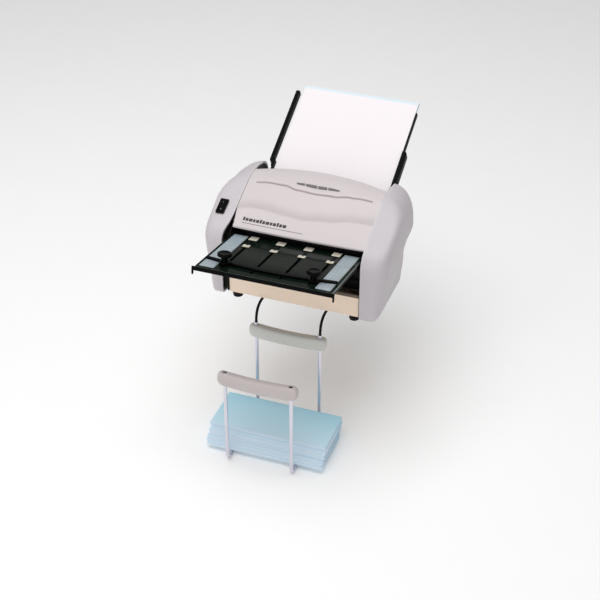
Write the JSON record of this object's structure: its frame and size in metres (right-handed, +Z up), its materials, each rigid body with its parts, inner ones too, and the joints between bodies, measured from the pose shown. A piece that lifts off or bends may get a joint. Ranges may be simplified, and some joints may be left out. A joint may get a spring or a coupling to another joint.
{
  "type": "desktop paper folding machine",
  "caption": "Desktop letter folder: inclined sheet feeder, fold rollers, sliding fold plates with stops, grey side casings and a wire stacker that hangs below the table edge.",
  "frame": {"origin": "on the table top under the middle of the machine", "axes": "+X to the machine's right as its user sees it, +Y to the back, +Z up"},
  "size_m": [0.329, 0.5453, 0.4577],
  "materials": {
    "shell_grey": "fine satin texture",
    "stacker_grey": "satin",
    "black_plastic": "satin",
    "black_steel": "semi-gloss",
    "cream_paint": "satin",
    "smoked_acrylic": "polished",
    "bright_steel": "plated",
    "roller_rubber": "matt",
    "soft_rubber": "matt",
    "nylon": "moulded",
    "label": "smooth film",
    "white_paper": "uncoated",
    "blue_paper": "uncoated"
  },
  "bodies": {
    "machine": {"casing_left": "shell_grey", "casing_right": "shell_grey", "switch_bezel": "black_plastic", "hood_cover": "shell_grey", "base_pan": "cream_paint", "foot_front_left": "soft_rubber", "foot_front_right": "soft_rubber", "foot_rear_left": "soft_rubber", "foot_rear_right": "soft_rubber", "rear_cover": "shell_grey", "power_inlet": "black_plastic", "drive_motor": "black_steel", "side_frame_left": "black_steel", "side_frame_right": "black_steel", "bearing_plate_right": "nylon", "bearing_plate_left": "nylon", "rear_tie_bar": "black_steel", "feed_tray": "black_plastic", "paper_stack": "white_paper", "feed_ramp": "black_steel", "separator_pad": "soft_rubber", "stacker_socket_left": "black_plastic", "stacker_socket_right": "black_plastic"},
    "rocker": {"switch_rocker": "black_plastic"},
    "infeed": {"infeed_roller": "roller_rubber", "infeed_gear": "nylon"},
    "upper_fold": {"upper_fold_roller": "roller_rubber", "upper_fold_gear": "nylon"},
    "lower_fold": {"lower_fold_roller": "roller_rubber", "lower_fold_gear": "nylon"},
    "outfeed": {"outfeed_roller": "roller_rubber", "outfeed_gear": "nylon"},
    "feed": {"feed_roller": "roller_rubber", "feed_gear": "nylon"},
    "feed_idler": {"feed_idler_gear": "nylon"},
    "motor_idler": {"motor_idler_gear": "nylon"},
    "motor_shaft": {"motor_pinion": "bright_steel"},
    "guide_left": {"paper_guide_left": "black_plastic"},
    "guide_right": {"paper_guide_right": "black_plastic"},
    "lower_plate": {"lower_fold_plate": "bright_steel"},
    "lower_plate_stop": {"lower_stop": "black_steel"},
    "upper_plate": {"lower_sheet": "black_steel", "clear_cover": "smoked_acrylic", "plate_rim": "black_steel", "scale_label_left": "label", "scale_label_right": "label", "finger_strip": "bright_steel"},
    "upper_plate_stop": {"stop_bar": "black_plastic"},
    "knob_left": {"clamp_knob_left": "black_plastic"},
    "knob_right": {"clamp_knob_right": "black_plastic"},
    "stacker": {"stacker_wire_left": "bright_steel", "stacker_wire_right": "bright_steel", "hanger_rod_left": "black_steel", "hanger_rod_right": "black_steel", "stacker_bar_rear": "stacker_grey", "stacker_bar_front": "stacker_grey"},
    "letters": {"folded_letters": "blue_paper"}
  },
  "joints": [
    {"name": "power_rocker", "type": "hinge", "parent": "machine", "child": "rocker", "pos_m": [-0.1435, -0.0475, 0.15217], "axis": [1, 0, 0], "range_deg": [-10, 0]},
    {"name": "infeed_turn", "type": "hinge", "parent": "machine", "child": "infeed", "pos_m": [0, -0.04, 0.1205], "axis": [1, 0, 0], "continuous": true},
    {"name": "upper_fold_turn", "type": "hinge", "parent": "machine", "child": "upper_fold", "pos_m": [0, -0.036, 0.0952], "axis": [1, 0, 0], "continuous": true},
    {"name": "lower_fold_turn", "type": "hinge", "parent": "machine", "child": "lower_fold", "pos_m": [0, -0.04, 0.0699], "axis": [1, 0, 0], "continuous": true},
    {"name": "outfeed_turn", "type": "hinge", "parent": "machine", "child": "outfeed", "pos_m": [0, -0.036, 0.0446], "axis": [1, 0, 0], "continuous": true},
    {"name": "feed_idler_turn", "type": "hinge", "parent": "machine", "child": "feed_idler", "pos_m": [0, -0.00012, 0.12362], "axis": [1, 0, 0], "continuous": true},
    {"name": "feed_turn", "type": "hinge", "parent": "machine", "child": "feed", "pos_m": [0, 0.03851, 0.13399], "axis": [1, 0, 0], "continuous": true},
    {"name": "motor_idler_turn", "type": "hinge", "parent": "machine", "child": "motor_idler", "pos_m": [0, 0.00818, 0.052], "axis": [1, 0, 0], "continuous": true},
    {"name": "motor_shaft_turn", "type": "hinge", "parent": "machine", "child": "motor_shaft", "pos_m": [0, 0.04757, 0.04504], "axis": [1, 0, 0], "continuous": true},
    {"name": "guide_left_slide", "type": "slide", "parent": "machine", "child": "guide_left", "axis": [-1, 0, 0], "range_m": [0, 0.0045]},
    {"name": "guide_right_slide", "type": "slide", "parent": "machine", "child": "guide_right", "axis": [1, 0, 0], "range_m": [0, 0.0045]},
    {"name": "upper_plate_pull", "type": "slide", "parent": "machine", "child": "upper_plate", "axis": [0, -0.9833, 0.1822], "range_m": [0, 0.06]},
    {"name": "upper_stop_slide", "type": "slide", "parent": "upper_plate", "child": "upper_plate_stop", "axis": [0, 0.9833, -0.1822], "range_m": [-0.005, 0.07]},
    {"name": "knob_left_turn", "type": "hinge", "parent": "upper_plate_stop", "child": "knob_left", "pos_m": [-0.076, -0.20349, 0.13834], "axis": [0, 0.1822, 0.9833], "range_deg": [0, 270]},
    {"name": "knob_right_turn", "type": "hinge", "parent": "upper_plate_stop", "child": "knob_right", "pos_m": [0.076, -0.20349, 0.13834], "axis": [0, 0.1822, 0.9833], "range_deg": [0, 270]},
    {"name": "lower_plate_pull", "type": "slide", "parent": "machine", "child": "lower_plate", "axis": [0, 0.996, -0.0899], "range_m": [0, 0.07]},
    {"name": "lower_stop_slide", "type": "slide", "parent": "lower_plate", "child": "lower_plate_stop", "axis": [0, 0.996, -0.0899], "range_m": [-0.04, 0.018]},
    {"name": "stacker_pull", "type": "slide", "parent": "machine", "child": "stacker", "axis": [0, -1, 0], "range_m": [0, 0.028]},
    {"name": "letters_lift", "type": "slide", "parent": "stacker", "child": "letters", "axis": [0, 0, 1], "range_m": [0, 0.2]}
  ],
  "couplings": [
    {"joint": "upper_fold_turn", "follows": "infeed_turn", "ratio": -1},
    {"joint": "lower_fold_turn", "follows": "infeed_turn", "ratio": 1},
    {"joint": "outfeed_turn", "follows": "infeed_turn", "ratio": -1},
    {"joint": "feed_idler_turn", "follows": "infeed_turn", "ratio": -0.47059},
    {"joint": "feed_turn", "follows": "infeed_turn", "ratio": 1},
    {"joint": "motor_idler_turn", "follows": "infeed_turn", "ratio": 0.4},
    {"joint": "motor_shaft_turn", "follows": "infeed_turn", "ratio": -1.6}
  ]
}
